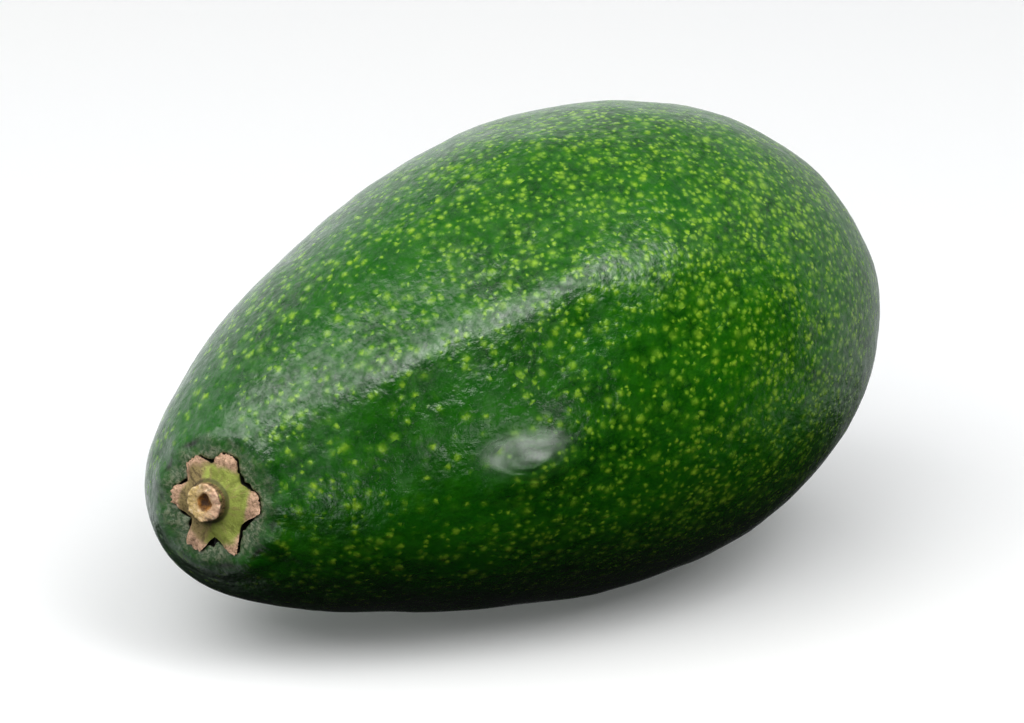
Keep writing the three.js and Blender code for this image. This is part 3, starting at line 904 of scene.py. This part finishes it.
# Near black, painted as shade in the crack round the button
CRACK_SHADE = (0.006, 0.005, 0.003, 1)
CORK_DARK = (0.05, 0.03, 0.015, 1)
CORK_LIGHT = (0.2, 0.13, 0.06, 1)
DISC_OLIVE = (0.22, 0.26, 0.04, 1)
DISC_BRIGHT = (0.38, 0.45, 0.08, 1)
DISC_TAN = (0.36, 0.25, 0.11, 1)
TIP_BROWN = (0.33, 0.19, 0.1, 1)
TIP_PINK = (0.78, 0.5, 0.33, 1)
# Dark bark, also painted as shade round the stub's foot
BARK_DARK_AND_SHADE = (0.035, 0.022, 0.01, 1)
BARK_TAN = (0.28, 0.18, 0.08, 1)
CUT_CREAM = (0.72, 0.52, 0.2, 1)
CUT_PINK = (0.82, 0.5, 0.34, 1)
# Pale cream of the cut's crumbs, partly a painted glint
CUT_PALE_AND_GLINT = (0.95, 0.76, 0.5, 1)
# Painted shade deep in the stub's hollow
HOLLOW_DEEP_SHADE = (0.05, 0.018, 0.004, 1)
HOLLOW_OCHRE = (0.42, 0.18, 0.03, 1)
FLOOR_COOL = (0.86, 0.87, 0.88, 1)
FLOOR_WARM = (0.88, 0.88, 0.87, 1)
WALL_COLOUR = (0.94, 0.98, 1, 1)

skin_mesh.materials.append(skin_material())
button_mesh.materials.append(stem_material())

for piece, node, slot in (
    (skin_piece, "fruit", "skin"),
    (stem_piece, "stem_button", "stem"),
):
    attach(piece, "root")
    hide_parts(node)

# Studio floor
FLOOR_HALF = 4.0
floor_mesh = bpy.data.meshes.new("studio_floor")
floor_mesh.from_pydata(
    [(-FLOOR_HALF, -FLOOR_HALF, 0), (FLOOR_HALF, -FLOOR_HALF, 0),
     (FLOOR_HALF, FLOOR_HALF, 0), (-FLOOR_HALF, FLOOR_HALF, 0)],
    [],
    [(0, 1, 2, 3)],
)
floor_mesh.materials.append(floor_material())
floor = add_object("studio_floor", floor_mesh)
floor.visible_glossy = False
floor.visible_diffuse = False

# Camera at the photograph's viewing angle
AZIMUTH, ELEVATION = -27.5, 22.8
CAMERA_DISTANCE = 0.7
CAMERA_LENS, CAMERA_SENSOR = 166, 36
CAMERA_NEAR, CAMERA_FAR = 0.01, 20


def toward(azimuth, elevation):
    """Direction from the fruit: azimuth 0 is the front, 90 the right, and elevation 90 straight up."""
    a, e = math.radians(azimuth), math.radians(elevation)
    return Vector((math.sin(a) * math.cos(e), -math.cos(a) * math.cos(e), math.sin(e)))


back = toward(AZIMUTH, ELEVATION)
camera_turn = back.to_track_quat("Z", "Y")
target = (cad_low + cad_high) / 2
camera = bpy.data.objects.new("camera", bpy.data.cameras.new("camera"))
camera.data.lens = CAMERA_LENS
camera.data.sensor_width = CAMERA_SENSOR
camera.data.clip_start, camera.data.clip_end = CAMERA_NEAR, CAMERA_FAR
camera.location = target + back * CAMERA_DISTANCE
camera.rotation_mode = "QUATERNION"
camera.rotation_quaternion = camera_turn
bpy.context.scene.collection.objects.link(camera)
bpy.context.scene.camera = camera


def area_light(name, azimuth, elevation, distance, width, height, radiance, shiny=True, soft=True):
    """A box light that faces the fruit and gives it shine, soft light or both; sizes in metres."""
    light = bpy.data.lights.new(name, "AREA")
    light.shape, light.size, light.size_y = "RECTANGLE", width, height
    light.energy = radiance * math.pi * width * height
    lamp = bpy.data.objects.new(name, light)
    way = toward(azimuth, elevation)
    lamp.location = target + way * distance
    lamp.rotation_mode = "QUATERNION"
    lamp.rotation_quaternion = way.to_track_quat("Z", "Y")
    lamp.visible_camera = False
    lamp.visible_glossy = shiny
    lamp.visible_diffuse = soft
    bpy.context.scene.collection.objects.link(lamp)


# Boxes from high on the left round to the front, brightest along their lower edge
area_light("left_box", -62, 41, 1.2, 1.8, 0.3, 3.5)
area_light("left_box_top", -62, 59, 1.2, 1.8, 0.45, 1.9)
area_light("front_box", -8, 47, 1.2, 0.9, 0.26, 3.5, soft=False)
area_light("front_box_top", -8, 61, 1.2, 0.8, 0.36, 1.9, soft=False)
area_light("high_box", 26, 63, 1.2, 0.5, 0.5, 2.4)
# Soft light that leaves no shine, and a low strip for the shine of the blister
area_light("top_fill", -75, 74, 1.5, 1.6, 1.6, 1.6, shiny=False)
area_light("high_fill", 24, 50, 1.2, 0.6, 0.6, 5.0, shiny=False)
area_light("low_strip", -12, 2, 0.4, 0.1, 0.06, 2.9, soft=False)

# Studio walls, seen only in the skin's shine: pale behind and on the right, dark in front and below
WALL_LEFT, WALL_RIGHT, WALL_BACK = 0.35, 0.54, 0.6
WALL_ABOVE, WALL_LOW, WALL_BY_STAR, WALL_DARK = 0.3, 0.45, 1.6, 0.015
# Parts of the walls: azimuth and elevation of the middle, and the cosines where each begins and is full
OVER_FLOOR = (0, 90, -0.58, -0.36)
HIGH_UP = (0, 90, 0.55, 0.8)
NOT_IN_FRONT = (-168, -8, -0.78, -0.42)
TO_THE_RIGHT = (100, 0, -0.5, 0.3)
BEHIND = (-160, -5, 0.3, 0.9)
LOW_LEFT = (-118, -42, 0.75, 0.97)
# Pale thing that shines in the skin beside the star
BY_STAR = (-43, -15, 0.968, 0.996)
world = bpy.data.worlds.new("studio")
bpy.context.scene.world = world
world.use_nodes = True
world.cycles_visibility.diffuse = False
sky = world.node_tree
direction = sky.nodes.new("ShaderNodeTexCoord").outputs["Generated"]


def wall_share(azimuth, elevation, low, high):
    """0 to 1 as a direction turns toward the middle of a part of the walls."""
    dot = sky.nodes.new("ShaderNodeVectorMath")
    dot.operation = "DOT_PRODUCT"
    sky.links.new(direction, dot.inputs[0])
    dot.inputs[1].default_value = toward(azimuth, elevation)
    ramp = sky.nodes.new("ShaderNodeMapRange")
    ramp.interpolation_type = "SMOOTHSTEP"
    sky.links.new(dot.outputs["Value"], ramp.inputs["Value"])
    for key, value in (("From Min", low), ("From Max", high)):
        ramp.inputs[key].default_value = value
    return ramp.outputs["Result"]


def combine(operation, a, b):
    node = sky.nodes.new("ShaderNodeMath")
    node.operation = operation
    for socket, value in zip(node.inputs, (a, b)):
        if isinstance(value, bpy.types.NodeSocket):
            sky.links.new(value, socket)
        else:
            socket.default_value = value
    return node.outputs[0]


high_up = wall_share(*HIGH_UP)
shown = combine("MULTIPLY", wall_share(*NOT_IN_FRONT), wall_share(*OVER_FLOOR))
to_the_right = combine("MULTIPLY", wall_share(*TO_THE_RIGHT), WALL_RIGHT - WALL_LEFT)
level = combine("ADD", to_the_right, WALL_LEFT)
level = combine("ADD", level, combine("MULTIPLY", wall_share(*BEHIND), WALL_BACK))
level = combine("MULTIPLY", level, shown)
level = combine("MULTIPLY", level, combine("SUBTRACT", 1.0, high_up))
for share, wall_level in (
    (high_up, WALL_ABOVE),
    (wall_share(*LOW_LEFT), WALL_LOW),
    (wall_share(*BY_STAR), WALL_BY_STAR),
):
    level = combine("ADD", level, combine("MULTIPLY", share, wall_level))
strength = combine("MAXIMUM", level, WALL_DARK)
sky.nodes["Background"].inputs["Color"].default_value = WALL_COLOUR
sky.links.new(strength, sky.nodes["Background"].inputs["Strength"])

bpy.context.scene.view_settings.view_transform = "Standard"
bpy.context.scene.view_settings.look = "None"
